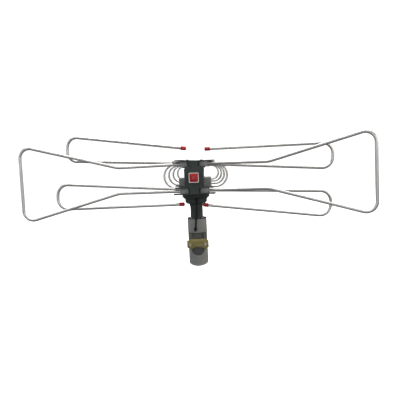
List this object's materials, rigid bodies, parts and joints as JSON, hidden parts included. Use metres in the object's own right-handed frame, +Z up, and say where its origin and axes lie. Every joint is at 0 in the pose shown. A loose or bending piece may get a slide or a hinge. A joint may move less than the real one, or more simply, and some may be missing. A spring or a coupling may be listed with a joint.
{
  "type": "rotating television antenna",
  "caption": "Outdoor television antenna on a motor rotator, with folding tube elements on a square boom and a clamp for a round mast.",
  "frame": {"origin": "on the mast socket axis, at the mouth of the socket", "axes": "+Z up along the mast, +Y forward along the boom, +X to the right of a viewer behind the antenna"},
  "size_m": [0.8754, 0.5446, 0.3676],
  "materials": {
    "base_plastic": "moulded, fine grain",
    "dark_plastic": "moulded, fine grain",
    "element_aluminium": "drawn tube, bright",
    "boom_aluminium": "extruded, satin",
    "red_plastic": "moulded",
    "yellow_zinc": "yellow zinc plate",
    "bright_steel": "zinc plated",
    "rivet_steel": "dark plated",
    "lug_plastic": "moulded",
    "gear_nylon": "moulded nylon",
    "cable_rubber": "smooth sheath",
    "circuit_board": "coated board"
  },
  "bodies": {
    "root": {"base_housing": "base_plastic", "clamp_bolts": "bright_steel", "neck_tube": "dark_plastic", "base_screws": "bright_steel", "neck_screws": "bright_steel", "motor_housing": "dark_plastic", "housing_cover": "dark_plastic", "cover_screws": "bright_steel", "gear_motor": "bright_steel", "motor_screws": "bright_steel", "gear_plate": "bright_steel", "spindle_bush": "gear_nylon", "thrust_washer": "gear_nylon", "antenna_cable": "cable_rubber", "cable_boot": "cable_rubber", "cable_grommet": "cable_rubber", "junction_board": "circuit_board"},
    "clamp": {"clamp_jaw": "yellow_zinc", "clamp_washers": "yellow_zinc", "clamp_nuts": "yellow_zinc"},
    "pinion": {"motor_pinion": "gear_nylon", "motor_shaft": "bright_steel"},
    "head": {"spindle": "bright_steel", "output_gear": "gear_nylon", "turret": "dark_plastic", "amplifier_case": "base_plastic", "amplifier_floor": "base_plastic", "amplifier_board": "circuit_board", "boom_tube": "boom_aluminium", "boom_plug_front": "red_plastic", "boom_plug_rear": "red_plastic", "boom_screws": "bright_steel", "front_bracket": "dark_plastic", "rear_bracket": "dark_plastic", "front_pins": "rivet_steel", "rear_pins": "rivet_steel", "uhf_ring_1": "element_aluminium", "uhf_ring_2": "element_aluminium", "uhf_ring_3": "element_aluminium", "uhf_ring_4": "element_aluminium", "ring_carrier_1": "dark_plastic", "ring_carrier_2": "dark_plastic", "ring_carrier_3": "dark_plastic", "ring_carrier_4": "dark_plastic"},
    "loop_left": {"front_loop_left": "element_aluminium", "front_lugs_left": "lug_plastic"},
    "loop_right": {"front_loop_right": "element_aluminium", "front_lugs_right": "lug_plastic"},
    "pin_upper_left": {"hairpin_upper_left": "element_aluminium", "hairpin_lug_upper_left": "lug_plastic", "hairpin_cap_upper_left": "red_plastic"},
    "pin_upper_right": {"hairpin_upper_right": "element_aluminium", "hairpin_lug_upper_right": "lug_plastic", "hairpin_cap_upper_right": "red_plastic"},
    "pin_lower_left": {"hairpin_lower_left": "element_aluminium", "hairpin_lug_lower_left": "lug_plastic", "hairpin_cap_lower_left": "red_plastic"},
    "pin_lower_right": {"hairpin_lower_right": "element_aluminium", "hairpin_lug_lower_right": "lug_plastic", "hairpin_cap_lower_right": "red_plastic"}
  },
  "joints": [
    {"name": "rotor_turn", "type": "hinge", "parent": "root", "child": "head", "pos_m": [0, 0, 0.196], "axis": [0, 0, 1], "range_deg": [-180, 180]},
    {"name": "pinion_spin", "type": "hinge", "parent": "root", "child": "pinion", "pos_m": [0, 0.0168, 0.19], "axis": [0, 0, 1], "continuous": true},
    {"name": "clamp_slide", "type": "slide", "parent": "root", "child": "clamp", "axis": [0, 1, 0], "range_m": [-0.006, 0.0045]},
    {"name": "loop_fold_left", "type": "hinge", "parent": "head", "child": "loop_left", "pos_m": [-0.0205, -0.076, 0.243], "axis": [0, 0, -1], "range_deg": [-84.9, 1.1]},
    {"name": "loop_fold_right", "type": "hinge", "parent": "head", "child": "loop_right", "pos_m": [0.0205, -0.076, 0.243], "axis": [0, 0, 1], "range_deg": [-67.1, 18.9]},
    {"name": "hairpin_fold_upper_left", "type": "hinge", "parent": "head", "child": "pin_upper_left", "pos_m": [-0.02045, -0.038, 0.24441], "axis": [-0.0689, 0, -0.9976], "range_deg": [-13.4, 26.6]},
    {"name": "hairpin_fold_upper_right", "type": "hinge", "parent": "head", "child": "pin_upper_right", "pos_m": [0.02045, -0.038, 0.24159], "axis": [0.0689, 0, 0.9976], "range_deg": [-6.1, 33.9]},
    {"name": "hairpin_fold_lower_left", "type": "hinge", "parent": "head", "child": "pin_lower_left", "pos_m": [-0.02045, -0.038, 0.24441], "axis": [-0.0689, 0, -0.9976], "range_deg": [-3.8, 36.2]},
    {"name": "hairpin_fold_lower_right", "type": "hinge", "parent": "head", "child": "pin_lower_right", "pos_m": [0.02045, -0.038, 0.24159], "axis": [0.0689, 0, 0.9976], "range_deg": [-6, 34]}
  ],
  "couplings": [
    {"joint": "pinion_spin", "follows": "rotor_turn", "ratio": -3.2}
  ]
}
